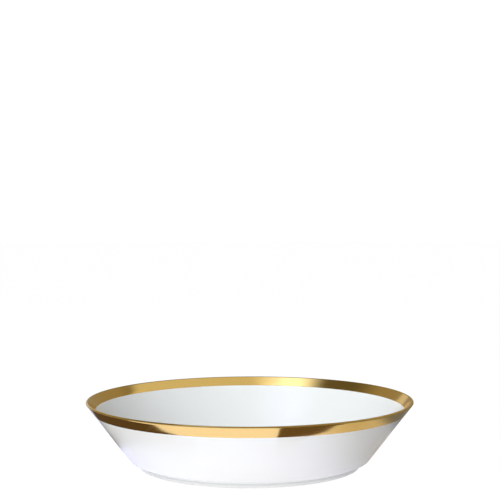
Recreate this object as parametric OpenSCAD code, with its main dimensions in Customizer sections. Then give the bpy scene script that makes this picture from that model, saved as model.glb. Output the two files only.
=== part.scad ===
// Serving bowl in glazed porcelain: a conical bowl on a low foot ring,
// with a burnished gold band over the lip.
// Origin: centre of the resting plane. +Z up. Millimetres.

/* [Overall] */
// Outside diameter over the gilded lip
rim_d = 280; // [230:1:340]
// Height from the table to the top of the gilded lip
bowl_h = 57; // [46:0.5:72]
// Slope of the outside wall from the vertical, in degrees
flare = 37.3; // [30:0.1:45]

/* [Wall and floor] */
// Finished thickness of the lip
lip_t = 2.3; // [1.8:0.1:3.6]
// Thickness of the clay wall just above the heel
heel_t = 3.8; // [3:0.1:5.5]
// Thickness of the clay floor
floor_t = 4.4; // [3.4:0.1:7]
// Fillet between the inside wall and the floor
well_r = 14; // [6:0.5:24]

/* [Heel and foot ring] */
// Distance from the heel corner in to the foot ring
foot_inset = 7.8; // [4:0.1:10]
// Height of the foot ring on its outside
foot_h = 3.6; // [3.2:0.1:8]
// Rise of the underside from the foot ring to the heel, in degrees
heel_rise = 24.5; // [12:0.5:34]
// Rounding of the heel corner
heel_r = 1.4; // [0.8:0.1:2.5]
// Width of the foot ring where it rests, edge roundings included
foot_w = 5.2; // [4:0.1:9]
// Height of the recess inside the foot ring
recess_h = 3.4; // [3.2:0.1:7.5]
// Rounding of both resting edges
foot_edge_r = 1.1; // [0.6:0.1:1.3]

/* [Glaze and gold] */
// Thickness of the glaze
glaze_t = 0.3; // [0.2:0.05:0.4]
// Thickness that stands for the fired gold film
gold_t = 0.12; // [0.1:0.01:0.16]
// Width of the gold on the outside wall, below the lip's rounding
outer_band = 9.7; // [4:0.1:18]
// Width of the gold on the inside wall, below the lip's rounding
inner_band = 9.2; // [4:0.1:18]
// Height above the table at which the glaze is wiped off the foot ring
bare_h = 1.6; // [1.4:0.1:2]

/* [Hidden] */
$fn = 180;

// Draft of the foot ring's walls, so that it leaves its mould.
foot_draft_out = 10;
foot_draft_in = 12;
// Fillets in the two corners above the foot ring.
root_r = 0.6;
recess_r = 1.5;
// The plane where the foot ring is luted to the body, just under its inside fillet.
luting_z = recess_h - recess_r;
// Degrees of arc per straight step of the outline.
arc_step = 6;

function dir(a) = [cos(a), sin(a)];
function reversed(list) = [for (i = [len(list) - 1 : -1 : 0]) list[i]];

// The outline is a list of arcs joined by straight lines. Each arc is
// [centre, radius, first normal, last normal, side]: the normals point out of
// the clay, and side is 1 where the clay bulges and -1 where it is hollow.
function corner(p, a0, a1, r, side) =
    let (n0 = dir(a0), n1 = dir(a1))
    [p - side * r * (n0 + n1) / (1 + n0 * n1), r, a0, a1, side];

// A plain point of the outline, with its normal.
function station(p, a) = [p, 0, a, a, 1];

// The points of one arc, moved out of the clay by the distance d.
function arc_points(arc, d) =
    let (sweep = arc[3] - arc[2], n = max(1, ceil(abs(sweep) / arc_step)))
    [for (i = [0 : arc[1] == 0 ? 0 : n])
        arc[0] + (arc[4] * arc[1] + d) * dir(arc[2] + sweep * i / n)];

function outline(arcs, d) = [for (arc = arcs) each arc_points(arc, d)];

// The skin that lies between two distances from the clay.
function skin(arcs, d0, d1) = concat(outline(arcs, d1), reversed(outline(arcs, d0)));

// Lip: a full round that ends the wall. Both walls are tangent to it.
coat_t = glaze_t + gold_t;
lip_c = [rim_d / 2 - lip_t / 2, bowl_h - lip_t / 2];
lip_r = lip_t / 2 - coat_t;
lip_out = lip_c + lip_r * dir(-flare);
down_out = -[sin(flare), cos(flare)];

// Heel: the outside wall's sharp corner with the underside.
heel_z = foot_h + foot_inset * tan(heel_rise);
heel_x = lip_out[0] - (lip_out[1] - heel_z) * tan(flare);

// Inside wall: leans over a little more, so that the wall thickens downwards.
wall_len = (lip_out[1] - heel_z) / cos(flare);
lean = flare + atan((heel_t - 2 * lip_r) / wall_len);
lip_in = lip_c + lip_r * dir(180 - lean);
down_in = -[sin(lean), cos(lean)];
floor_z = recess_h + floor_t;
well_x = lip_in[0] - (lip_in[1] - floor_z) * tan(lean);

// Foot ring: outside wall, resting plane at z = 0, inside wall.
foot_x = heel_x - foot_inset;
rest_out = foot_x - foot_h * tan(foot_draft_out);
rest_in = rest_out - foot_w;
recess_x = rest_in - recess_h * tan(foot_draft_in);

// Normals of the straight stretches, from the inside floor round to the recess.
up = 90;
wall_in = 180 - lean;
wall_out = -flare;
under = heel_rise - 90;
foot_out = -foot_draft_out;
down = -90;
foot_in = foot_draft_in - 180;

lip_arc = [lip_c, lip_r, wall_in, wall_out, 1];
upper_arcs = [
    station([0, floor_z], up),
    corner([well_x, floor_z], up, wall_in, well_r, -1),
    lip_arc,
    corner([heel_x, heel_z], wall_out, under, heel_r, 1),
    corner([foot_x, foot_h], under, foot_out, root_r, -1)
];
foot_arcs = [
    corner([rest_out, 0], foot_out, down, foot_edge_r, 1),
    corner([rest_in, 0], down, foot_in, foot_edge_r, 1)
];
base_arcs = [
    corner([recess_x, recess_h], foot_in, down, recess_r, -1),
    station([0, recess_h], down)
];
clay_outline = outline(concat(upper_arcs, foot_arcs, base_arcs), 0);

// Where the wiped glaze ends on the two walls of the foot ring.
outer_wipe = station([rest_out + bare_h * tan(foot_draft_out), bare_h], foot_out);
inner_wipe = station([rest_in - bare_h * tan(foot_draft_in), bare_h], foot_in);

module turned(points) {
    rotate_extrude()
        polygon(points);
}

// Everything below the luting plane, as a flat region to cut with.
module below_luting() {
    translate([0, -1])
        square([rim_d, luting_z + 1]);
}

module bowl_body() {
    color("ivory")
        rotate_extrude()
            difference() {
                polygon(clay_outline);
                below_luting();
            }
}

module foot_ring() {
    color("linen")
        rotate_extrude()
            intersection() {
                polygon(clay_outline);
                below_luting();
            }
}

// Glaze in one coat: floor, inside wall, lip, outside wall, down to the wiped line.
module glaze_coat() {
    color("white")
        turned(skin(concat(upper_arcs, [outer_wipe]), 0, glaze_t));
}

// Glaze in the recess, up from the wiped line inside the foot ring.
module base_glaze() {
    color("white")
        turned(skin(concat([inner_wipe], base_arcs), 0, glaze_t));
}

// Gold on the outside wall: a cone from the lip's rounding to the band's edge.
module outer_gold_band() {
    band_end = station(lip_out + outer_band * down_out, wall_out);
    color("goldenrod")
        turned(skin([station(lip_out, wall_out), band_end], glaze_t, coat_t));
}

// Gold line drawn round the lip itself, joining the two bands.
module lip_gold_edge() {
    color("gold")
        turned(skin([lip_arc], glaze_t, coat_t));
}

// Gold on the inside wall.
module inner_gold_band() {
    band_end = station(lip_in + inner_band * down_in, wall_in);
    color("goldenrod")
        turned(skin([band_end, station(lip_in, wall_in)], glaze_t, coat_t));
}

bowl_body();
foot_ring();
glaze_coat();
base_glaze();
outer_gold_band();
lip_gold_edge();
inner_gold_band();
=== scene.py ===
# %% [markdown]
# # A gilded porcelain bowl, turned by Geometry Nodes
# The bowl is one piece of pottery: clay, glaze over the clay, and gold over the glaze. Everything
# on it is round about one axis, because it was formed on a turning mould, glazed, and gilded on
# a banding wheel. So each layer is modelled as its half section, turned round that axis.
# The CAD model holds the sizes. This lesson builds the same layers with fine curves and true
# finishes, and prints the size of each one beside that of the CAD part that it stands for.

# %% Load the frame
import math
from collections import namedtuple
import bmesh
import bpy
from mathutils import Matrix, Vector


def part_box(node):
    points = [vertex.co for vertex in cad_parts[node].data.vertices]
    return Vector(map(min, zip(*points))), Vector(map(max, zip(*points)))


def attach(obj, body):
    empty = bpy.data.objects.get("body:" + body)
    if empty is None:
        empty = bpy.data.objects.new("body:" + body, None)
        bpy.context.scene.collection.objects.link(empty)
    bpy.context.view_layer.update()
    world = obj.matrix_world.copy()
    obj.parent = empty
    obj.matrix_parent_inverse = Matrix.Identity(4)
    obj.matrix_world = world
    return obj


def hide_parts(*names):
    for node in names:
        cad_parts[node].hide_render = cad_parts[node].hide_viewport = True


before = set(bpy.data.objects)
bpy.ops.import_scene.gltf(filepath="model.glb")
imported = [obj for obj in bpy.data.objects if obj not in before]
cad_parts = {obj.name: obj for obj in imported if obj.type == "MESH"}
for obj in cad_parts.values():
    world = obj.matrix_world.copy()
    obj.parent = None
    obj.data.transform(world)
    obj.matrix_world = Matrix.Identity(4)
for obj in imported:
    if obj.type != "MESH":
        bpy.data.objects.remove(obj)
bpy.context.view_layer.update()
MM = 0.001
print("CAD nodes:", sorted(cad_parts))

# %% [markdown]
# ## One helper for all node trees
# Geometry and materials are both node trees. This function adds a node, sets its options, and
# fills each input with a value or links it to an output, so a tree reads as a list of steps.

# %% Helper: add a node
def add(tree, kind, inputs=(), **options):
    """Adds a node, sets its options, and fills or links its inputs."""
    node = tree.nodes.new(kind)
    for name, value in options.items():
        setattr(node, name, value)
    for key, value in dict(inputs).items():
        if isinstance(value, bpy.types.NodeSocket):
            tree.links.new(value, node.inputs[key])
        else:
            node.inputs[key].default_value = value
    return node

# %% [markdown]
# ## The half section
# The outline is straight lines that meet at rounded corners. A corner is a point, the directions
# that the surface faces before and after it, and its rounding. Each layer lies at its own
# distance from the clay: moving every line outwards by that distance moves a corner along the
# middle of its two directions, and makes a bulging rounding larger and a hollow one smaller.

# %% Sizes of the bowl, in millimetres and degrees
lip_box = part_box("lip_gold_edge")
RIM_R = lip_box[1].x / MM
BOWL_H = lip_box[1].z / MM
FLARE = 37.3                           # lean of the outside wall from the vertical
LIP_T = 2.3                            # lip, glaze and gold included
HEEL_T = 3.8                           # clay of the wall, just above the heel
FLOOR_T = 4.4                          # clay of the floor
WELL_R = 14                            # rounding between floor and wall
HEEL_R = 1.4                           # rounding of the heel, where the wall turns under
HEEL_RISE = 24.5                       # slope of the underside from the foot out to the heel
FOOT_INSET = 7.8                       # from the heel in to the foot
FOOT_H, FOOT_W = 3.6, 5.2
FOOT_EDGE_R = 1.1
FOOT_DRAFT_OUT, FOOT_DRAFT_IN = 10, 12
RECESS_H = 3.4                         # how far the floor's underside is above the table
ROOT_R, RECESS_R = 0.6, 1.5            # roundings where the foot meets the underside
GLAZE_T = 0.3
GOLD_T = 0.12
OUTER_BAND, INNER_BAND = 9.7, 9.2      # widths of gold, measured down the wall from the lip
BARE_H = 1.6                           # height of the foot's edge that has no glaze
print(f"rim radius {RIM_R:.2f} mm, height {BOWL_H:.2f} mm")

# %% Moving a corner
Corner = namedtuple("Corner", "name point first last rounding side")


def facing(degrees):
    """The direction at this angle above the horizontal, in the half section."""
    return Vector((math.cos(math.radians(degrees)), math.sin(math.radians(degrees))))


def tan(degrees):
    """The tangent of an angle in degrees."""
    return math.tan(math.radians(degrees))


def moved(corner, distance):
    """The corner's place and rounding on a layer at this distance from the clay."""
    n0, n1 = facing(corner.first), facing(corner.last)
    point = Vector(corner.point) + distance * (n0 + n1) / (1 + n0.dot(n1))
    rounding = corner.rounding + corner.side * distance if corner.rounding else 0.0
    return corner.name, point, rounding


def lip_corner(name, first, last):
    """One of the two corners whose roundings meet on top of the lip and make its full round."""
    n0, n1 = facing(first), facing(last)
    return Corner(name, LIP_C + LIP_R * (n0 + n1) / (1 + n0.dot(n1)), first, last, LIP_R, 1)


LIP_C = Vector((RIM_R - LIP_T / 2, BOWL_H - LIP_T / 2))
LIP_R = LIP_T / 2 - GLAZE_T - GOLD_T
print(f"round of the clay's lip: radius {LIP_R:.2f} mm")

# %% [markdown]
# The rest of the outline follows from those sizes. The wall is thickest at the heel and thins
# towards the lip, so its inside leans a little more than its outside.

# %% Places and directions on the outline
lip_out = LIP_C + LIP_R * facing(-FLARE)
heel_z = FOOT_H + FOOT_INSET * tan(HEEL_RISE)
heel_x = lip_out.x - (lip_out.y - heel_z) * tan(FLARE)
wall_len = (lip_out.y - heel_z) / math.cos(math.radians(FLARE))
LEAN = FLARE + math.degrees(math.atan((HEEL_T - 2 * LIP_R) / wall_len))
lip_in = LIP_C + LIP_R * facing(180 - LEAN)
floor_z = RECESS_H + FLOOR_T
well_x = lip_in.x - (lip_in.y - floor_z) * tan(LEAN)
foot_x = heel_x - FOOT_INSET
rest_out = foot_x - FOOT_H * tan(FOOT_DRAFT_OUT)
rest_in = rest_out - FOOT_W
recess_x = rest_in - RECESS_H * tan(FOOT_DRAFT_IN)
luting_z = RECESS_H - RECESS_R

print(f"inside wall leans {LEAN:.2f} degrees, floor at {floor_z + GLAZE_T:.2f} mm")

# %% Corners of the clay, from the middle of the floor round to the middle of the underside
UP, DOWN = 90, -90
WALL_IN, WALL_OUT = 180 - LEAN, -FLARE
UNDER = HEEL_RISE - 90
FOOT_OUT, FOOT_IN = -FOOT_DRAFT_OUT, FOOT_DRAFT_IN - 180


def end(name, x, z, direction):
    """A plain end of an outline."""
    return Corner(name, (x, z), direction, direction, 0, 1)


floor_centre = end("Floor centre", 0, floor_z, UP)
well = Corner("Well", (well_x, floor_z), UP, WALL_IN, WELL_R, -1)
lip_inside = lip_corner("Lip inside", WALL_IN, UP)
lip_outside = lip_corner("Lip outside", UP, WALL_OUT)
heel = Corner("Heel", (heel_x, heel_z), WALL_OUT, UNDER, HEEL_R, 1)
foot_root = Corner("Foot root", (foot_x, FOOT_H), UNDER, FOOT_OUT, ROOT_R, -1)
rest_outside = Corner("Rest outside", (rest_out, 0), FOOT_OUT, DOWN, FOOT_EDGE_R, 1)
rest_inside = Corner("Rest inside", (rest_in, 0), DOWN, FOOT_IN, FOOT_EDGE_R, 1)
recess = Corner("Recess", (recess_x, RECESS_H), FOOT_IN, DOWN, RECESS_R, -1)
recess_centre = end("Recess centre", 0, RECESS_H, DOWN)


def on_foot_outside(name, z):
    """A plain end at this height on the foot's outer side."""
    return end(name, rest_out + z * tan(FOOT_DRAFT_OUT), z, FOOT_OUT)


def on_foot_inside(name, z):
    """A plain end at this height on the foot's inner side."""
    return end(name, rest_in - z * tan(FOOT_DRAFT_IN), z, FOOT_IN)


print(f"the foot rests between radii {rest_in:.2f} and {rest_out:.2f} mm")

# %% [markdown]
# ## Turning the section
# A Screw or Spin would turn it too, but would fix its sizes in the mesh. The tree below keeps
# each corner and rounding as a named input, so a layer can be resized from its modifier until it
# is made a plain mesh. It rounds the corners, puts extra rows on the straight stretches so that
# the shading there stays flat, and sweeps the section once round the axis. The sweep's seam and
# its points on the axis are merged, and creases stay sharp only where the surface really breaks.

# %% Geometry Nodes: inputs and numbered values
def new_inputs(tree, inputs):
    """Gives the tree its named inputs and a geometry output, and returns its input node."""
    for name, kind in inputs:
        tree.interface.new_socket(name, in_out="INPUT", socket_type="NodeSocket" + kind)
    tree.interface.new_socket("Geometry", in_out="OUTPUT", socket_type="NodeSocketGeometry")
    return tree.nodes.new("NodeGroupInput")


def pick_by_index(tree, kind, sockets):
    """A field that gives each point the socket of its own number."""
    node = add(tree, "GeometryNodeIndexSwitch", data_type=kind)
    while len(node.index_switch_items) < len(sockets):
        node.index_switch_items.new()
    tree.links.new(add(tree, "GeometryNodeInputIndex").outputs[0], node.inputs["Index"])
    for number, socket in enumerate(sockets):
        tree.links.new(socket, node.inputs[str(number)])
    return node.outputs[0]

# %% Geometry Nodes: the section
def section_curve(tree, given, names):
    """A closed curve through the corners, with their roundings and the extra rows."""
    line = add(tree, "GeometryNodeCurvePrimitiveLine")
    chain = add(tree, "GeometryNodeResampleCurve",
                {"Curve": line.outputs[0], "Count": len(names)})
    places = pick_by_index(tree, "VECTOR", [given[name] for name in names])
    placed = add(tree, "GeometryNodeSetPosition",
                 {"Geometry": chain.outputs[0], "Position": places})
    closed = add(tree, "GeometryNodeSetSplineCyclic",
                 {"Geometry": placed.outputs[0], "Cyclic": True})
    radii = pick_by_index(tree, "FLOAT", [given[name + " rounding"] for name in names])
    rounded = add(tree, "GeometryNodeFilletCurve", {
        "Curve": closed.outputs[0], "Count": given["Rounding steps"], "Radius": radii,
    }, mode="POLY")

    # Rows on the straight stretches: the distance to the next point over the row spacing.
    here = add(tree, "GeometryNodeInputPosition").outputs[0]
    index = add(tree, "GeometryNodeInputIndex").outputs[0]
    following = add(tree, "GeometryNodeOffsetPointInCurve", {"Point Index": index, "Offset": 1})
    there = add(tree, "GeometryNodeFieldAtIndex", {
        "Index": following.outputs["Point Index"], "Value": here,
    }, data_type="FLOAT_VECTOR", domain="POINT")
    gap = add(tree, "ShaderNodeVectorMath", {0: here, 1: there.outputs[0]}, operation="DISTANCE")
    cuts = add(tree, "ShaderNodeMath", {0: gap.outputs["Value"], 1: given["Row spacing"]},
               operation="DIVIDE")
    rows = add(tree, "GeometryNodeSubdivideCurve",
               {"Curve": rounded.outputs[0], "Cuts": cuts.outputs[0]})
    return rows.outputs[0]

# %% Geometry Nodes: the sweep
MERGE = 0.001          # mm, closer than any two real points of a section


def swept(tree, given, section_line):
    """The skin that the section leaves: each point goes round at its own radius and height."""
    section = add(tree, "GeometryNodeCaptureAttribute", {"Geometry": section_line})
    section.capture_items.new("VECTOR", "Place")
    here = add(tree, "GeometryNodeInputPosition").outputs[0]
    tree.links.new(here, section.inputs["Place"])
    path = add(tree, "GeometryNodeResampleCurve", {
        "Curve": add(tree, "GeometryNodeCurvePrimitiveLine").outputs[0],
        "Count": add(tree, "ShaderNodeMath", {0: given["Turn steps"], 1: 1.0}).outputs[0],
    })
    turned = add(tree, "GeometryNodeCaptureAttribute", {"Geometry": path.outputs[0]})
    turned.capture_items.new("FLOAT", "Turn")
    factor = add(tree, "GeometryNodeSplineParameter").outputs["Factor"]
    tree.links.new(factor, turned.inputs["Turn"])
    sheet = add(tree, "GeometryNodeCurveToMesh", {
        "Curve": turned.outputs["Geometry"], "Profile Curve": section.outputs["Geometry"],
    })
    angle = add(tree, "ShaderNodeMath", {0: turned.outputs["Turn"], 1: math.tau},
                operation="MULTIPLY").outputs[0]
    part = add(tree, "ShaderNodeSeparateXYZ", {0: section.outputs["Place"]}).outputs
    cosine = add(tree, "ShaderNodeMath", {0: angle}, operation="COSINE").outputs[0]
    sine = add(tree, "ShaderNodeMath", {0: angle}, operation="SINE").outputs[0]
    x = add(tree, "ShaderNodeMath", {0: part["X"], 1: cosine}, operation="MULTIPLY")
    y = add(tree, "ShaderNodeMath", {0: part["X"], 1: sine}, operation="MULTIPLY")
    around = add(tree, "ShaderNodeCombineXYZ", {0: x.outputs[0], 1: y.outputs[0], 2: part["Y"]})
    skin = add(tree, "GeometryNodeSetPosition",
               {"Geometry": sheet.outputs[0], "Position": around.outputs[0]})
    merged = add(tree, "GeometryNodeMergeByDistance",
                 {"Geometry": skin.outputs[0], "Distance": MERGE * MM})
    return merged.outputs[0]

# %% Geometry Nodes: stray edges and shading
CREASE = 40            # degrees: an edge that bends more than this stays sharp


def equal(tree, value, number):
    """A field that is true where a whole number has this value."""
    return add(tree, "FunctionNodeCompare", {2: value, 3: number}, data_type="INT",
               operation="EQUAL").outputs[0]


def without_strays(tree, skin):
    """The stretch of the section on the axis sweeps no surface, so what it leaves goes."""
    faces_at_point = add(tree, "GeometryNodeInputMeshVertexNeighbors").outputs["Face Count"]
    pointless = add(tree, "GeometryNodeDeleteGeometry",
                    {"Geometry": skin, "Selection": equal(tree, faces_at_point, 0)},
                    domain="POINT")
    faces_at_edge = add(tree, "GeometryNodeInputMeshEdgeNeighbors").outputs[0]
    clean = add(tree, "GeometryNodeDeleteGeometry",
                {"Geometry": pointless.outputs[0], "Selection": equal(tree, faces_at_edge, 0)},
                domain="EDGE", mode="EDGE_FACE")
    return clean.outputs[0]


def shaded(tree, skin):
    """Smooth shading, broken only where the surface really breaks."""
    smooth = add(tree, "GeometryNodeSetShadeSmooth",
                 {"Geometry": skin, "Shade Smooth": True}, domain="FACE")
    bend = add(tree, "GeometryNodeInputMeshEdgeAngle").outputs["Unsigned Angle"]
    crease = add(tree, "FunctionNodeCompare", {0: bend, 1: math.radians(CREASE)},
                 data_type="FLOAT", operation="GREATER_THAN")
    creased = add(tree, "GeometryNodeSetShadeSmooth", {
        "Geometry": smooth.outputs[0], "Selection": crease.outputs[0], "Shade Smooth": False,
    }, domain="EDGE")
    return creased.outputs[0]

# %% Geometry Nodes: the turning tree
def turning_tree(title, names):
    """A tree that turns a closed section with these corners round the Z axis."""
    tree = bpy.data.node_groups.new(title, "GeometryNodeTree")
    sizes = [(name, "Vector") for name in names]
    sizes += [(name + " rounding", "Float") for name in names]
    steps = [("Turn steps", "Int"), ("Rounding steps", "Int"), ("Row spacing", "Float")]
    given = new_inputs(tree, sizes + steps + [("Material", "Material")]).outputs
    skin = swept(tree, given, section_curve(tree, given, names))
    finished = shaded(tree, without_strays(tree, skin))
    real = add(tree, "GeometryNodeRealizeInstances", {"Geometry": finished})
    painted = add(tree, "GeometryNodeSetMaterial",
                  {"Geometry": real.outputs[0], "Material": given["Material"]})
    add(tree, "NodeGroupOutput", {"Geometry": painted.outputs[0]})
    return tree

# %% [markdown]
# A piece is one tree's result, made a plain mesh so that the modifier can go. It stands for one
# CAD node, so its size is printed beside that node's, with its volume and any open edges.

# %% A piece from its section
TURN_STEPS = 288
ROUNDING_STEPS = 16
ROW_SPACING = 4.0      # mm


def turn(name, corners, material, stands_for):
    """Turns a closed section, given as (name, point, rounding) in millimetres, into a piece."""
    tree = turning_tree(name + "_tree", [corner[0] for corner in corners])
    values = {"Turn steps": TURN_STEPS, "Rounding steps": ROUNDING_STEPS,
              "Row spacing": ROW_SPACING * MM, "Material": material}
    for label, point, rounding in corners:
        values[label] = (point[0] * MM, point[1] * MM, 0.0)
        values[label + " rounding"] = rounding * MM
    maker = bpy.data.objects.new(name + "_maker", bpy.data.meshes.new(name + "_maker"))
    bpy.context.collection.objects.link(maker)
    modifier = maker.modifiers.new("Turning", "NODES")
    modifier.node_group = tree
    for item in tree.interface.items_tree:
        if item.in_out == "INPUT":
            modifier[item.identifier] = values[item.name]
    ready = maker.evaluated_get(bpy.context.evaluated_depsgraph_get())
    mesh = bpy.data.meshes.new_from_object(ready)
    mesh.name = name
    bpy.data.objects.remove(maker)
    piece = bpy.data.objects.new(name, mesh)
    bpy.context.collection.objects.link(piece)
    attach(piece, "root")
    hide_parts(stands_for)
    report(piece, stands_for)
    return piece


def report(piece, node):
    """Prints the piece's size beside its CAD node's, its volume and its open edges."""
    places = [vertex.co / MM for vertex in piece.data.vertices]
    high = [max(place[i] for place in places) for i in range(3)]
    low = min(place.z for place in places)
    cad_low, cad_high = (Vector(corner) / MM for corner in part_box(node))
    work = bmesh.new()
    work.from_mesh(piece.data)
    volume = work.calc_volume(signed=True) / MM ** 3
    open_edges = sum(len(edge.link_faces) != 2 for edge in work.edges)
    work.free()
    print(f"{piece.name}: radius {high[0]:.2f} (CAD {cad_high.x:.2f}), z {low:.2f} to {high[2]:.2f} "
          f"(CAD {cad_low.z:.2f} to {cad_high.z:.2f}), {volume:.0f} cubic mm, "
          f"{len(piece.data.polygons)} faces, {open_edges} open edges")


def layer(corners, inner, outer, first_edge=0.0, last_edge=0.0):
    """The closed section of the skin between two distances from the clay.

    first_edge and last_edge round off the outer corner at the skin's two ends.
    """
    top = [moved(corner, outer) for corner in corners]
    top[0] = (*top[0][:2], first_edge)
    top[-1] = (*top[-1][:2], last_edge)
    under = [moved(corner, inner) for corner in reversed(corners)]
    return ([(name + " outer", *rest) for name, *rest in top]
            + [(name + " inner", *rest) for name, *rest in under])

# %% [markdown]
# ## Colours and finishes
# A hex colour is what the eye sees on a screen, and shaders count in linear light, so one
# function turns the first into the second. A finish is a tree that ends in one shader. Its
# patterns read Object coordinates, which are the real metres of the bowl, so every pattern's
# scale is one over a real size.

# %% Colours and empty materials
def colour(hex_value):
    """An sRGB hex colour as the linear colour that a shader needs."""
    parts = [int(hex_value[i:i + 2], 16) / 255 for i in (0, 2, 4)]
    linear = [p / 12.92 if p <= 0.04045 else ((p + 0.055) / 1.055) ** 2.4 for p in parts]
    return (*linear, 1.0)


# The sockets of a Mix node that mixes colours.
FACTOR, COLOUR_A, COLOUR_B, MIXED = 0, 6, 7, 2


def new_material(name):
    """A new material with an empty tree."""
    material = bpy.data.materials.new(name)
    material.use_nodes = True
    material.node_tree.nodes.clear()
    return material, material.node_tree


def section_distance(tree, place, radius, height):
    """How far a point is, in the half section, from the ring of this radius and height in mm."""
    flat = add(tree, "ShaderNodeVectorMath", {0: place, 1: (1, 1, 0)}, operation="MULTIPLY")
    out = add(tree, "ShaderNodeVectorMath", {0: flat.outputs[0]}, operation="LENGTH")
    up = add(tree, "ShaderNodeSeparateXYZ", {0: place})
    point = add(tree, "ShaderNodeCombineXYZ", {0: out.outputs["Value"], 1: up.outputs["Z"]})
    ring = (radius * MM, height * MM, 0)
    return add(tree, "ShaderNodeVectorMath", {0: point.outputs[0], 1: ring},
               operation="DISTANCE").outputs["Value"]


print("half grey, 808080, is", round(colour("808080")[0], 3), "in linear light")

# %% [markdown]
# ## Finish: clear glaze on hard porcelain
# Hard porcelain is white clay under a clear feldspar glaze, fired together until they are one
# glassy skin. The eye sees a clean white that varies a little over some centimetres, a sharp
# gloss, reflections that ripple slightly because the glaze flowed as it melted, and a cool
# grey-green where it ran into a hollow and lies thicker: above the foot and inside the recess.
# That grey-green is also darker than the white, so in the hollows it is partly painted shade.

# %% Material: glazed porcelain
GLAZE_WHITES = "F3F3F2", "F7F7F7"
GLAZE_GLOSS = 0.035, 0.075    # roughness of its smoothest and of its most pebbled spots
GLAZE_IOR = 1.52
# painted shade: this pool tint is darker than the glaze's white, so it darkens the hollows as well as
# cooling them
POOL_TINT_AND_SHADE = "DCDFDC"
CLOUD_SIZE = 38        # mm, from one whiter patch to the next
RIPPLE_SIZE = 13       # mm, from crest to crest where the glaze flowed
RIPPLE_DEPTH = 0.02    # mm
GLAZE_GRAIN = 1.6      # mm, the faint pebbling of a fired glaze
POOL_AND_SHADE_REACH = 2.6       # mm, how far the pooled tint and its painted shade reach out of a hollow


def glazed_porcelain():
    """White body under a clear, slightly rippled glaze, cooler where it pools and darker there with
    painted shade.
    """
    material, tree = new_material("clear_glazed_hard_porcelain")
    place = add(tree, "ShaderNodeTexCoord").outputs["Object"]
    cloud = add(tree, "ShaderNodeTexNoise",
                {"Vector": place, "Scale": 1 / (CLOUD_SIZE * MM), "Detail": 3.0})
    white = add(tree, "ShaderNodeMix", {
        FACTOR: cloud.outputs[0],
        COLOUR_A: colour(GLAZE_WHITES[0]), COLOUR_B: colour(GLAZE_WHITES[1]),
    }, data_type="RGBA")

    # Thick glaze in the two hollows, tinted cool and darkened with painted shade: full at the corner
    # and gone at the end of its reach.
    above_foot = section_distance(tree, place, foot_x + GLAZE_T, FOOT_H - GLAZE_T)
    in_recess = section_distance(tree, place, recess_x - GLAZE_T, RECESS_H - GLAZE_T)
    nearest = add(tree, "ShaderNodeMath", {0: above_foot, 1: in_recess}, operation="MINIMUM")
    pool_and_shade = add(tree, "ShaderNodeMapRange", {
        "Value": nearest.outputs[0], "From Max": POOL_AND_SHADE_REACH * MM, "To Min": 1.0, "To Max": 0.0,
    }, interpolation_type="SMOOTHSTEP")
    tinted_and_shaded = add(tree, "ShaderNodeMix", {
        FACTOR: pool_and_shade.outputs[0], COLOUR_A: white.outputs[MIXED], COLOUR_B: colour(POOL_TINT_AND_SHADE),
    }, data_type="RGBA")

    grain = add(tree, "ShaderNodeTexNoise",
                {"Vector": place, "Scale": 1 / (GLAZE_GRAIN * MM), "Detail": 1.0})
    gloss = add(tree, "ShaderNodeMapRange",
                {"Value": grain.outputs[0], "To Min": GLAZE_GLOSS[0], "To Max": GLAZE_GLOSS[1]})
    ripple = add(tree, "ShaderNodeTexNoise",
                 {"Vector": place, "Scale": 1 / (RIPPLE_SIZE * MM), "Detail": 2.0, "Roughness": 0.35})
    bump = add(tree, "ShaderNodeBump",
               {"Height": ripple.outputs[0], "Distance": RIPPLE_DEPTH * MM, "Strength": 1.0})
    shader = add(tree, "ShaderNodeBsdfPrincipled", {
        "Base Color": tinted_and_shaded.outputs[MIXED], "Roughness": gloss.outputs[0],
        "IOR": GLAZE_IOR, "Normal": bump.outputs[0],
    })
    add(tree, "ShaderNodeOutputMaterial", {"Surface": shader.outputs[0]})
    return material


glaze = glazed_porcelain()
print("made", glaze.name)

# %% [markdown]
# ## Finish: bare porcelain on the foot
# The foot's resting edge is wiped before firing, or the glaze would stick it to the kiln shelf,
# and is ground smooth afterwards. The bare clay is a dry, slightly warmer white. It has the
# fine grain of fired clay, and faint rings from the grinding wheel. The real grain is a few
# hundredths of a millimetre, so it is drawn coarser here to show at all.

# %% Material: bare porcelain
CLAY_WHITES = "E8E7E5", "F2F1F0"
CLAY_ROUGHNESS = 0.6, 0.85
CLAY_IOR = 1.5
CLAY_GRAIN = 0.35      # mm
GRAIN_DEPTH = 0.012    # mm
GRINDING_RINGS = 0.5   # mm, from one ring to the next
RING_DEPTH = 0.006     # mm


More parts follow.
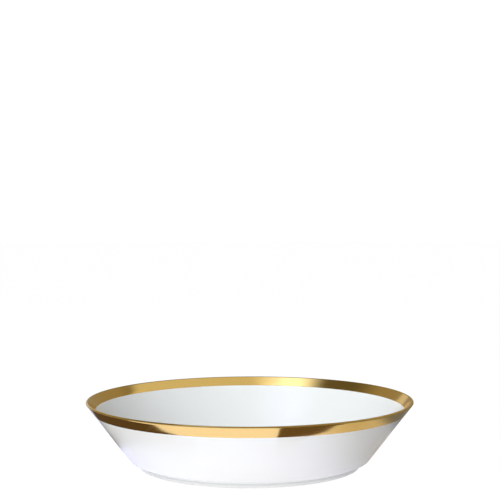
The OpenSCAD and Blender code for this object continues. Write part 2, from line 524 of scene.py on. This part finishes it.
def bare_porcelain():
    """Dry fired clay with a fine grain and the rings of the grinding wheel."""
    material, tree = new_material("bare_ground_porcelain")
    place = add(tree, "ShaderNodeTexCoord").outputs["Object"]
    grain = add(tree, "ShaderNodeTexNoise",
                {"Vector": place, "Scale": 1 / (CLAY_GRAIN * MM), "Detail": 3.0})
    tone = add(tree, "ShaderNodeMix", {
        FACTOR: grain.outputs[0],
        COLOUR_A: colour(CLAY_WHITES[0]), COLOUR_B: colour(CLAY_WHITES[1]),
    }, data_type="RGBA")
    dryness = add(tree, "ShaderNodeMapRange", {
        "Value": grain.outputs[0], "To Min": CLAY_ROUGHNESS[0], "To Max": CLAY_ROUGHNESS[1]})
    from_axis = section_distance(tree, place, 0, 0)
    turns = add(tree, "ShaderNodeMath",
                {0: from_axis, 1: math.tau / (GRINDING_RINGS * MM)}, operation="MULTIPLY")
    rings = add(tree, "ShaderNodeMath", {0: turns.outputs[0]}, operation="SINE")
    ground = add(tree, "ShaderNodeBump",
                 {"Height": rings.outputs[0], "Distance": RING_DEPTH * MM, "Strength": 1.0})
    bump = add(tree, "ShaderNodeBump", {
        "Height": grain.outputs[0], "Distance": GRAIN_DEPTH * MM, "Strength": 1.0,
        "Normal": ground.outputs[0],
    })
    shader = add(tree, "ShaderNodeBsdfPrincipled", {
        "Base Color": tone.outputs[MIXED], "Roughness": dryness.outputs[0],
        "IOR": CLAY_IOR, "Normal": bump.outputs[0],
    })
    add(tree, "ShaderNodeOutputMaterial", {"Surface": shader.outputs[0]})
    return material


clay = bare_porcelain()
print("made", clay.name)

# %% [markdown]
# ## Finish: burnished gold
# The gold is painted on the fired glaze from a brush held still while the bowl turns, fired
# again at a low heat, and rubbed bright with agate or glass fibre. So its marks all run round
# the rim: thin streaks where the coat is thicker, a little paler and a little rougher. The
# rubbing also leaves the bright bands softly wavy, which bends the edges of what they mirror.

# %% Material: burnished gold
GOLD_TINTS = "F7CC72", "FCDB86"
GOLD_ROUGHNESS = 0.09, 0.15
STREAK_WIDTH = 0.9     # mm, up the wall
STREAK_LENGTH = 70     # mm, round the rim
WAVE_SIZE = 10         # mm, from one rubbed wave to the next
WAVE_DEPTH = 0.009     # mm
STREAK_DEPTH = 0.0005  # mm
STREAK_RANGE = 0.3, 0.7       # the noise values between which polish changes


def burnished_gold():
    """Polished gold with brushed streaks round the rim and softly rubbed waves."""
    material, tree = new_material("burnished_gold_on_glaze")
    place = add(tree, "ShaderNodeTexCoord").outputs["Object"]
    round_and_up = (1 / (STREAK_LENGTH * MM), 1 / (STREAK_LENGTH * MM), 1 / (STREAK_WIDTH * MM))
    drawn_out = add(tree, "ShaderNodeVectorMath", {0: place, 1: round_and_up},
                    operation="MULTIPLY")
    streaks = add(tree, "ShaderNodeTexNoise",
                  {"Vector": drawn_out.outputs[0], "Scale": 1.0, "Detail": 4.0, "Roughness": 0.6})
    gold = add(tree, "ShaderNodeMix", {
        FACTOR: streaks.outputs[0],
        COLOUR_A: colour(GOLD_TINTS[0]), COLOUR_B: colour(GOLD_TINTS[1]),
    }, data_type="RGBA")
    polish = add(tree, "ShaderNodeMapRange", {
        "Value": streaks.outputs[0], "From Min": STREAK_RANGE[0], "From Max": STREAK_RANGE[1],
        "To Min": GOLD_ROUGHNESS[0], "To Max": GOLD_ROUGHNESS[1]})
    waves = add(tree, "ShaderNodeTexNoise",
                {"Vector": place, "Scale": 1 / (WAVE_SIZE * MM), "Detail": 1.0})
    rubbed = add(tree, "ShaderNodeBump",
                 {"Height": waves.outputs[0], "Distance": WAVE_DEPTH * MM, "Strength": 1.0})
    bump = add(tree, "ShaderNodeBump", {
        "Height": streaks.outputs[0], "Distance": STREAK_DEPTH * MM, "Strength": 1.0,
        "Normal": rubbed.outputs[0],
    })
    shader = add(tree, "ShaderNodeBsdfPrincipled", {
        "Base Color": gold.outputs[MIXED], "Roughness": polish.outputs[0],
        "Metallic": 1.0, "Normal": bump.outputs[0],
    })
    add(tree, "ShaderNodeOutputMaterial", {"Surface": shader.outputs[0]})
    return material


gilding = burnished_gold()
print("made", gilding.name)

# %% [markdown]
# ## The clay
# A bowl this shape is pressed between a spinning mould and a heated steel profile, which gives
# the flat floor and the straight wall in one stroke. The foot ring is joined on soft clay and
# trimmed. The glaze hides nearly all of it, so only the foot's edge is seen, but the clay is
# made whole, so that a cut through the bowl anywhere shows its real thickness.

# %% Pieces: bowl body and foot ring
luting_outside = on_foot_outside("Luting outside", luting_z)
luting_inside = on_foot_inside("Luting inside", luting_z)
body = [floor_centre, well, lip_inside, lip_outside, heel, foot_root,
        luting_outside, luting_inside, recess, recess_centre]
turn("porcelain_body", [moved(corner, 0) for corner in body], clay, "bowl_body")
ring = [luting_outside, rest_outside, rest_inside, luting_inside]
turn("foot_ring_bare", [moved(corner, 0) for corner in ring], clay, "foot_ring")

# %% [markdown]
# ## The glaze
# The bowl is dipped, so one coat runs from the floor up the inside, over the lip and down the
# outside to the line where the foot was wiped. The recess under the floor has its own coat, cut
# off by the bare edge. Melting glaze pulls itself round at its edge, so the end of each coat is
# rounded off.

# %% Pieces: the two coats of glaze
WIPED_EDGE = 0.2       # mm, rounding of a coat where it was wiped off
coat = [floor_centre, well, lip_inside, lip_outside, heel, foot_root,
        on_foot_outside("Wiped edge", BARE_H)]
turn("glaze_dipped", layer(coat, 0, GLAZE_T, last_edge=WIPED_EDGE), glaze,
     "glaze_coat")
under_coat = [on_foot_inside("Wiped edge", BARE_H), recess, recess_centre]
turn("glaze_in_recess", layer(under_coat, 0, GLAZE_T, first_edge=WIPED_EDGE), glaze,
     "base_glaze")

# %% [markdown]
# ## The gold
# The gilder works on the banding wheel: a broad band outside, a broad band inside, and a line
# over the lip that laps onto both. The film is built thicker than real gold, so that its edge
# shows as the faint step it is. The lip's line runs a little down both walls, because a
# straight stretch there lets its shading meet the bands' without a seam.

# %% Pieces: the three gold bands
FILM_OUT = GLAZE_T + GOLD_T
FILM_EDGE = 0.08       # mm, rounding where a band ends
LAP = 0.25             # mm, how far the line on the lip runs down both walls


def down_the_wall(start, lean, distance):
    """The point this far down a wall that leans outwards by this angle."""
    return start + distance * facing(-90 - lean)


outside_lap = down_the_wall(lip_out, FLARE, LAP)
inside_lap = down_the_wall(lip_in, LEAN, LAP)
outer_band = [end("Lip end", *outside_lap, WALL_OUT),
              end("Wall end", *down_the_wall(lip_out, FLARE, OUTER_BAND), WALL_OUT)]
lip_line = [end("Inside lap", *inside_lap, WALL_IN), lip_inside, lip_outside,
            end("Outside lap", *outside_lap, WALL_OUT)]
inner_band = [end("Wall end", *down_the_wall(lip_in, LEAN, INNER_BAND), WALL_IN),
              end("Lip end", *inside_lap, WALL_IN)]
turn("gold_band_outside", layer(outer_band, GLAZE_T, FILM_OUT, last_edge=FILM_EDGE),
     gilding, "outer_gold_band")
turn("gold_line_on_lip", layer(lip_line, GLAZE_T, FILM_OUT),
     gilding, "lip_gold_edge")
turn("gold_band_inside", layer(inner_band, GLAZE_T, FILM_OUT, first_edge=FILM_EDGE),
     gilding, "inner_gold_band")

# %% [markdown]
# ## The table
# White china on white is shot on an opal table lit from below: the pale floor glows, so the
# bowl's undercut wall is bright although it leans over its own shade. The camera sees the table
# exposed to white, with only a trace of shadow. Everything else sees the glow itself, which is
# strongest in front of the lamp, a little weaker to the left and nearly gone at the right, and
# which is dimmed round the bowl by a painted shadow. Gold and glaze mirror it stronger than
# dull surfaces show it, cool beside the lamp and warm beyond.

# %% Stage: what lies around the bowl
scene = bpy.context.scene
scene.view_settings.view_transform = "Standard"


def stage_mesh(name, corners, faces, material, camera=False, diffuse=True, glossy=True,
               shadow=False):
    """A flat thing of the studio, which isn't part of the bowl, and what can see it."""
    mesh = bpy.data.meshes.new(name)
    mesh.from_pydata(corners, [], faces)
    mesh.materials.append(material)
    thing = bpy.data.objects.new(name, mesh)
    bpy.context.collection.objects.link(thing)
    thing.visible_camera = camera
    thing.visible_diffuse = diffuse
    thing.visible_glossy = glossy
    thing.visible_shadow = shadow
    return thing


def fade(tree, value, start, stop, before, after):
    """A smooth change from one value to another as the input goes from start to stop."""
    return add(tree, "ShaderNodeMapRange", {
        "Value": value, "From Min": start, "From Max": stop, "To Min": before, "To Max": after,
    }, interpolation_type="SMOOTHSTEP").outputs[0]

# %% Stage: opal table
TABLE = 6.0                      # m, from the middle to an edge
GLOW_LEFT, GLOW_FRONT, GLOW_MIDDLE, GLOW_RIGHT = 0.6, 0.79, 0.42, 0.02
GLOW_TINT = "FDFDFD"
MIRROR_GAIN = 1.49               # how much stronger gold and glaze mirror the glow
MIRROR_COOL, MIRROR_WARM = "CFD0FF", "DDD2C6"    # its tint beside the lamp, and beyond
LEFT_FADE = (-0.075, -0.13)      # m along x: where the glow starts and stops changing
LAMP_FADE = (0.06, 0.12)
RIGHT_FADE = (0.14, 0.165)
PAINTED_SHADOW_GLOW = 0.88                # part of the glow left in the painted shadow under the bowl
PAINTED_SHADOW_FADE = (0.085, 0.142)      # m from the middle of the bowl, where the painted shadow fades out
TABLE_WHITE, SWEEP_WHITE = 0.985, 1.05
OPAL_GREY, TRACE_GREY = "9A9A9A", "404040"
TABLE_DROP = 0.0001              # m, so that table and foot aren't the same plane


def opal_table():
    """A lit white table: its glow falls off to both sides, and a painted shadow dims it round the
    bowl.
    """
    material, tree = new_material("opal_table")
    place = add(tree, "ShaderNodeTexCoord").outputs["Object"]
    side = add(tree, "ShaderNodeSeparateXYZ", {0: place}).outputs["X"]
    away = add(tree, "ShaderNodeVectorMath", {0: place}, operation="LENGTH").outputs["Value"]
    near_lamp = fade(tree, side, *LAMP_FADE, GLOW_FRONT, GLOW_MIDDLE)
    right_end = fade(tree, side, *RIGHT_FADE, 0.0, GLOW_MIDDLE - GLOW_RIGHT)
    left_end = fade(tree, side, *LEFT_FADE, 0.0, GLOW_FRONT - GLOW_LEFT)
    ends = add(tree, "ShaderNodeMath", {0: right_end, 1: left_end}).outputs[0]
    along = add(tree, "ShaderNodeMath", {0: near_lamp, 1: ends}, operation="SUBTRACT")
    # Painted shadow: the glow is dimmed in a ring round the bowl's foot, as if the bowl shaded it.
    painted_shadow = fade(tree, away, *PAINTED_SHADOW_FADE, PAINTED_SHADOW_GLOW, 1.0)
    strength = add(tree, "ShaderNodeMath", {0: along.outputs[0], 1: painted_shadow}, operation="MULTIPLY")
    plain = add(tree, "ShaderNodeEmission",
                {"Color": colour(GLOW_TINT), "Strength": strength.outputs[0]})
    tint = add(tree, "ShaderNodeMix", {
        FACTOR: fade(tree, side, *LAMP_FADE, 0, 1),
        COLOUR_A: colour(MIRROR_COOL), COLOUR_B: colour(MIRROR_WARM),
    }, data_type="RGBA")
    stronger = add(tree, "ShaderNodeMath", {0: strength.outputs[0], 1: MIRROR_GAIN},
                   operation="MULTIPLY")
    mirrored = add(tree, "ShaderNodeEmission",
                   {"Color": tint.outputs[MIXED], "Strength": stronger.outputs[0]})
    ray = add(tree, "ShaderNodeLightPath").outputs
    glow = add(tree, "ShaderNodeMixShader",
               {0: ray["Is Glossy Ray"], 1: plain.outputs[0], 2: mirrored.outputs[0]})
    opal = add(tree, "ShaderNodeBsdfDiffuse", {"Color": colour(OPAL_GREY)})
    lit = add(tree, "ShaderNodeAddShader", {0: glow.outputs[0], 1: opal.outputs[0]})
    white = add(tree, "ShaderNodeEmission",
                {"Color": colour("FFFFFF"), "Strength": TABLE_WHITE})
    trace = add(tree, "ShaderNodeBsdfDiffuse", {"Color": colour(TRACE_GREY)})
    seen = add(tree, "ShaderNodeAddShader", {0: white.outputs[0], 1: trace.outputs[0]})
    above = add(tree, "ShaderNodeMixShader",
                {0: ray["Is Camera Ray"], 1: lit.outputs[0], 2: seen.outputs[0]})
    # From below the table is clear, so that the bowl's underside can be looked at.
    from_below = add(tree, "ShaderNodeNewGeometry").outputs["Backfacing"]
    clear = add(tree, "ShaderNodeBsdfTransparent")
    both = add(tree, "ShaderNodeMixShader",
               {0: from_below, 1: above.outputs[0], 2: clear.outputs[0]})
    add(tree, "ShaderNodeOutputMaterial", {"Surface": both.outputs[0]})
    return material


square = [(x * TABLE, y * TABLE, -TABLE_DROP) for x, y in ((-1, -1), (1, -1), (1, 1), (-1, 1))]
stage_mesh("table", square, [(0, 1, 2, 3)], opal_table(), camera=True, shadow=True)
print(f"table: {2 * TABLE:.0f} m across, its glow {GLOW_FRONT} beside the lamp, {GLOW_RIGHT} far off")

# %% [markdown]
# ## The room
# Gold mirrors everything, so the room matters too. It is mirrored as a wall of a warm pale
# brown with a darker ceiling. Dull surfaces get an even, dim white from it, and the camera
# sees the white sweep that hangs behind the table.

# %% Stage: the room
ROOM_TINT = "E4D6B6"
ROOM_LOW, ROOM_HIGH = 0.4, 0.15     # as mirrored: the wall, then the ceiling
ROOM_FILL = 0.16                    # as it lights dull surfaces
WALL_TOP = (0.5, 0.72)              # height of the direction in which wall becomes ceiling

world = bpy.data.worlds.new("studio_room")
scene.world = world
world.use_nodes = True
room = world.node_tree
room.nodes.clear()
height = add(room, "ShaderNodeSeparateXYZ",
             {0: add(room, "ShaderNodeTexCoord").outputs["Generated"]}).outputs["Z"]
ray = add(room, "ShaderNodeLightPath").outputs
fill = add(room, "ShaderNodeBackground", {"Color": colour("FFFFFF"), "Strength": ROOM_FILL})
mirrored = add(room, "ShaderNodeBackground", {
    "Color": colour(ROOM_TINT), "Strength": fade(room, height, *WALL_TOP, ROOM_LOW, ROOM_HIGH)})
dim = add(room, "ShaderNodeMixShader",
          {0: ray["Is Glossy Ray"], 1: fill.outputs[0], 2: mirrored.outputs[0]})
white_sweep = add(room, "ShaderNodeBackground",
                  {"Color": colour("FFFFFF"), "Strength": SWEEP_WHITE})
seen = add(room, "ShaderNodeMixShader",
           {0: ray["Is Camera Ray"], 1: dim.outputs[0], 2: white_sweep.outputs[0]})
add(room, "ShaderNodeOutputWorld", {"Surface": seen.outputs[0]})
print(f"room: wall {ROOM_LOW}, ceiling {ROOM_HIGH}, fill {ROOM_FILL}")

# %% [markdown]
# ## Soft lights
# Soft light comes from large panels. Each one here is a glowing gauze, brightest in the middle
# and fading at its edge as a real fabric softbox does. What is behind a gauze shows through it,
# so overlapping panels add their light. Four panels only light the bowl, and three are only
# mirrored in it, so that the shape's shading and the gold's reflections can be set one by one.

# %% Helper: a softbox
def softbox(name, at, aim, size, radiance, edge=0.5, roll=0, tint="FFFFFF", diffuse=True,
            glossy=True):
    """A glowing gauze panel, turned to its aim; edge is the part of its half width that fades."""
    material, tree = new_material(name + "_fabric")
    place = add(tree, "ShaderNodeTexCoord").outputs["Object"]
    part = add(tree, "ShaderNodeVectorMath", {0: place, 1: (2 / size[0], 2 / size[1], 0)},
               operation="MULTIPLY")
    part = add(tree, "ShaderNodeVectorMath", {0: part.outputs[0]}, operation="ABSOLUTE")
    part = add(tree, "ShaderNodeSeparateXYZ", {0: part.outputs[0]}).outputs
    across = fade(tree, part["X"], 1 - edge, 1, 1, 0)
    along = fade(tree, part["Y"], 1 - edge, 1, radiance, 0)
    strength = add(tree, "ShaderNodeMath", {0: across, 1: along}, operation="MULTIPLY")
    glow = add(tree, "ShaderNodeEmission",
               {"Color": colour(tint), "Strength": strength.outputs[0]})
    gauze = add(tree, "ShaderNodeBsdfTransparent")
    both = add(tree, "ShaderNodeAddShader", {0: glow.outputs[0], 1: gauze.outputs[0]})
    add(tree, "ShaderNodeOutputMaterial", {"Surface": both.outputs[0]})
    x, y = size[0] / 2, size[1] / 2
    panel = stage_mesh(name, [(-x, -y, 0), (-x, y, 0), (x, y, 0), (x, -y, 0)],
                       [(0, 1, 2, 3)], material, diffuse=diffuse, glossy=glossy)
    panel.location = at
    panel.rotation_euler = (Vector(aim) - Vector(at)).to_track_quat("-Z", "Y").to_euler()
    panel.rotation_euler.rotate_axis("Z", math.radians(roll))
    return panel

# %% Stage: softboxes
BOWL = (0, 0, 0.03)    # m, what the panels aim at
COOL = "F3FAFD"
COOLER = "CCD8FF"
panels = [
    # These light the bowl and aren't mirrored.
    softbox("key_left", (-0.86, -0.31, 0.92), BOWL, (0.6, 0.6), 13.3, tint=COOL, glossy=False),
    softbox("low_left", (-0.63, -1.09, 0.34), BOWL, (0.5, 0.5), 5.2, glossy=False),
    softbox("front", (0.0, -1.6, 0.5), BOWL, (1.6, 0.8), 2.1, edge=0.3, glossy=False),
    softbox("top", (0.0, 0.1, 1.3), BOWL, (0.5, 0.5), 10.0, tint=COOL, glossy=False),
    # These are only mirrored. The first two hang level, a metre or so over the table.
    softbox("strip", (0.56, 0.12, 1.0), (0.56, 0.12, 0), (2.4, 0.6), 0.54, edge=0.45, roll=40,
            diffuse=False),
    softbox("overhead", (-0.375, -0.175, 1.05), (-0.375, -0.175, 0), (0.72, 0.7), 2.4,
            edge=0.9, roll=-27, tint=COOLER, diffuse=False),
    softbox("back_left", (-0.55, 1.5, 0.33), BOWL, (0.7, 0.45), 0.35, edge=0.3, diffuse=False),
]
print("panels:", ", ".join(panel.name for panel in panels))

# %% [markdown]
# ## Felt cards
# The outside band leans over the table and mirrors it, and a gold that mirrors only white looks
# pale. So photographers lay dark felt on the table beside the piece, to give the gold contrast.
# Each card here is part of a ring, and its edge near the bowl is feathered, so that no line shows
# in the glaze. Only gold and glaze mirror it: the camera doesn't see it, and it shades nothing.
# The lamps don't light it: its brightness is a painted glow, set for each card.

# %% Stage: felt cards on the table
FELT_START, FELT_FULL = 0.118, 0.138    # m from the middle, where the feathering starts and ends
FELT_BROWN = "C9A882"
DARK, LESS_DARK = 0.16, 0.21            # how bright the felt's painted glow is


def card(name, rows, material, height, steps=24):
    """A card cut to the bowl's round: each row is a radius and two angles from the front."""
    corners, faces = [], []
    for row, (radius, first, last) in enumerate(rows):
        for step in range(steps + 1):
            turned = math.radians(first + (last - first) * step / steps)
            corners.append((radius * math.sin(turned), -radius * math.cos(turned), height))
        if row:
            start = row * (steps + 1)
            faces += [(i, i + 1, i - steps, i - steps - 1) for i in range(start, start + steps)]
    return stage_mesh(name, corners, faces, material, diffuse=False)


def felt(tone):
    """Brown felt with a painted glow in place of lamplight, clear at its edge near the bowl and
    covering fully further out.
    """
    material, tree = new_material("brown_felt")
    away = add(tree, "ShaderNodeVectorMath",
               {0: add(tree, "ShaderNodeTexCoord").outputs["Object"]}, operation="LENGTH")
    cover = fade(tree, away.outputs["Value"], FELT_START, FELT_FULL, 0, 1)
    # Painted glow: the felt gives off this brightness itself, and the lamps don't light it.
    painted_felt_glow = add(tree, "ShaderNodeEmission", {"Color": colour(FELT_BROWN), "Strength": tone})
    gone = add(tree, "ShaderNodeBsdfTransparent")
    feathered = add(tree, "ShaderNodeMixShader", {0: cover, 1: gone.outputs[0], 2: painted_felt_glow.outputs[0]})
    add(tree, "ShaderNodeOutputMaterial", {"Surface": feathered.outputs[0]})
    return material


left = card("card_left", [
    (FELT_START, -25, -125), (0.134, -25, -125), (0.152, -50, -125), (0.23, -68, -125),
    (1.2, -76, -125)], felt(DARK), 4 * TABLE_DROP)
front = card("card_front", [
    (FELT_START, 12, 21), (0.134, 12, 21), (0.152, 14, 45),
    (0.6, 12, 50)], felt(LESS_DARK), 8 * TABLE_DROP)
print("cards:", ", ".join(f"{item.name}, {len(item.data.polygons)} faces" for item in (left, front)))

# %% [markdown]
# ## Camera
# A long lens from a little above the rim, as for a catalogue view. A long lens keeps the near
# and far sides of the rim close to the same size, which is how tableware is usually shown.

# %% Camera
CAMERA_UP = 8.76       # degrees above the rim
CAMERA_AWAY = 1.12     # m
LENS, SENSOR = 93.11, 36                 # mm
PITCH, ROLL, YAW = 87.788, 0.14, -0.039  # degrees
NEAR, FAR = 0.05, 30   # m
camera_data = bpy.data.cameras.new("camera")
camera = bpy.data.objects.new("camera", camera_data)
bpy.context.collection.objects.link(camera)
scene.camera = camera
camera_data.sensor_width = SENSOR
camera_data.lens = LENS
camera_data.clip_start, camera_data.clip_end = NEAR, FAR
up = math.radians(CAMERA_UP)
camera.location = (0, -CAMERA_AWAY * math.cos(up), BOWL_H * MM + CAMERA_AWAY * math.sin(up))
camera.rotation_euler = [math.radians(angle) for angle in (PITCH, ROLL, YAW)]
print(f"camera: {CAMERA_AWAY} m from the rim's middle, {CAMERA_UP} degrees above it")
